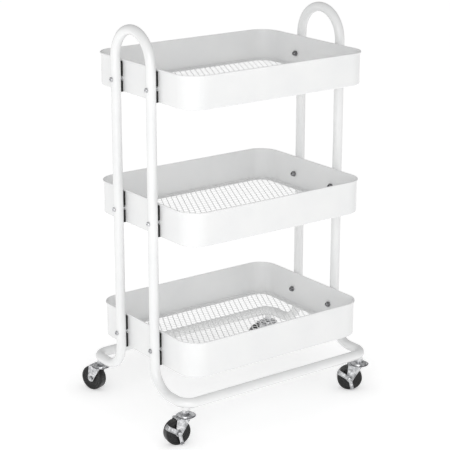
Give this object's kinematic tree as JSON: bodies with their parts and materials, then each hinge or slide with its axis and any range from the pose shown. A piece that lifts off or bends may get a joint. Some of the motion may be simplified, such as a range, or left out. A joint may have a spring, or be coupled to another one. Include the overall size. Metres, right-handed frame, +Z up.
{
  "type": "utility cart",
  "caption": "Tall rolling utility cart: solid-walled trays with mesh floors stacked between bent-tube hoops, on swivel casters with brake levers at the front.",
  "frame": {"origin": "on the floor, under the middle of the whole cart's box with its casters swung as stored", "axes": "+X along the trays from the left hoop to the right hoop, +Y from the front to the back, +Z up"},
  "size_m": [0.4928, 0.3618, 0.765],
  "materials": {
    "white_powder_coat": "smooth semi-gloss powder coat",
    "chrome": "bright plated steel",
    "bearing_steel": "plain steel, oiled",
    "black_plastic": "moulded, matt",
    "black_wheel_plastic": "moulded, satin"
  },
  "bodies": {
    "cart": {"left_hoop": "white_powder_coat", "right_hoop": "white_powder_coat", "front_base_rail": "white_powder_coat", "rear_base_rail": "white_powder_coat", "top_tray": "white_powder_coat", "top_mesh_floor": "white_powder_coat", "top_tray_spacers": "black_plastic", "top_tray_screws": "chrome", "top_tray_cap_nuts": "chrome", "middle_tray": "white_powder_coat", "middle_mesh_floor": "white_powder_coat", "middle_tray_spacers": "black_plastic", "middle_tray_screws": "chrome", "middle_tray_cap_nuts": "chrome", "bottom_tray": "white_powder_coat", "bottom_mesh_floor": "white_powder_coat", "bottom_tray_spacers": "black_plastic", "bottom_tray_screws": "chrome", "bottom_tray_cap_nuts": "chrome", "front_left_caster_stem": "chrome", "front_left_swivel_cup": "chrome", "front_right_caster_stem": "chrome", "front_right_swivel_cup": "chrome", "back_left_caster_stem": "chrome", "back_left_swivel_cup": "chrome", "back_right_caster_stem": "chrome", "back_right_swivel_cup": "chrome"},
    "front_left_swivel": {"front_left_fork": "chrome", "front_left_ball_ring": "bearing_steel", "front_left_axle_bush": "bearing_steel", "front_left_axle_bolt": "chrome", "front_left_axle_nut": "chrome"},
    "front_left_roller": {"front_left_wheel": "black_wheel_plastic"},
    "front_left_brake": {"front_left_brake_lever": "chrome"},
    "front_right_swivel": {"front_right_fork": "chrome", "front_right_ball_ring": "bearing_steel", "front_right_axle_bush": "bearing_steel", "front_right_axle_bolt": "chrome", "front_right_axle_nut": "chrome"},
    "front_right_roller": {"front_right_wheel": "black_wheel_plastic"},
    "front_right_brake": {"front_right_brake_lever": "chrome"},
    "back_left_swivel": {"back_left_fork": "chrome", "back_left_ball_ring": "bearing_steel", "back_left_axle_bush": "bearing_steel", "back_left_axle_bolt": "chrome", "back_left_axle_nut": "chrome"},
    "back_left_roller": {"back_left_wheel": "black_wheel_plastic"},
    "back_right_swivel": {"back_right_fork": "chrome", "back_right_ball_ring": "bearing_steel", "back_right_axle_bush": "bearing_steel", "back_right_axle_bolt": "chrome", "back_right_axle_nut": "chrome"},
    "back_right_roller": {"back_right_wheel": "black_wheel_plastic"}
  },
  "joints": [
    {"name": "front_left_caster_swivel", "type": "hinge", "parent": "cart", "child": "front_left_swivel", "pos_m": [-0.19959, -0.16279, 0.055], "axis": [0, 0, 1], "continuous": true},
    {"name": "front_left_wheel_roll", "type": "hinge", "parent": "front_left_swivel", "child": "front_left_roller", "pos_m": [-0.21835, -0.15981, 0.025], "axis": [-0.1564, -0.9877, 0], "continuous": true},
    {"name": "front_left_brake_lever_tilt", "type": "hinge", "parent": "front_left_swivel", "child": "front_left_brake", "pos_m": [-0.21835, -0.15981, 0.025], "axis": [-0.1564, -0.9877, 0], "range_deg": [0, 20]},
    {"name": "front_right_caster_swivel", "type": "hinge", "parent": "cart", "child": "front_right_swivel", "pos_m": [0.22618, -0.16279, 0.055], "axis": [0, 0, 1], "continuous": true},
    {"name": "front_right_wheel_roll", "type": "hinge", "parent": "front_right_swivel", "child": "front_right_roller", "pos_m": [0.21062, -0.15189, 0.025], "axis": [-0.5736, -0.8192, 0], "continuous": true},
    {"name": "front_right_brake_lever_tilt", "type": "hinge", "parent": "front_right_swivel", "child": "front_right_brake", "pos_m": [0.21062, -0.15189, 0.025], "axis": [-0.5736, -0.8192, 0], "range_deg": [0, 20]},
    {"name": "back_left_caster_swivel", "type": "hinge", "parent": "cart", "child": "back_left_swivel", "pos_m": [-0.19959, 0.13598, 0.055], "axis": [0, 0, 1], "continuous": true},
    {"name": "back_left_wheel_roll", "type": "hinge", "parent": "back_left_swivel", "child": "back_left_roller", "pos_m": [-0.20546, 0.15405, 0.025], "axis": [-0.9511, -0.309, 0], "continuous": true},
    {"name": "back_right_caster_swivel", "type": "hinge", "parent": "cart", "child": "back_right_swivel", "pos_m": [0.22618, 0.13598, 0.055], "axis": [0, 0, 1], "continuous": true},
    {"name": "back_right_wheel_roll", "type": "hinge", "parent": "back_right_swivel", "child": "back_right_roller", "pos_m": [0.20833, 0.14248, 0.025], "axis": [-0.342, -0.9397, 0], "continuous": true}
  ]
}
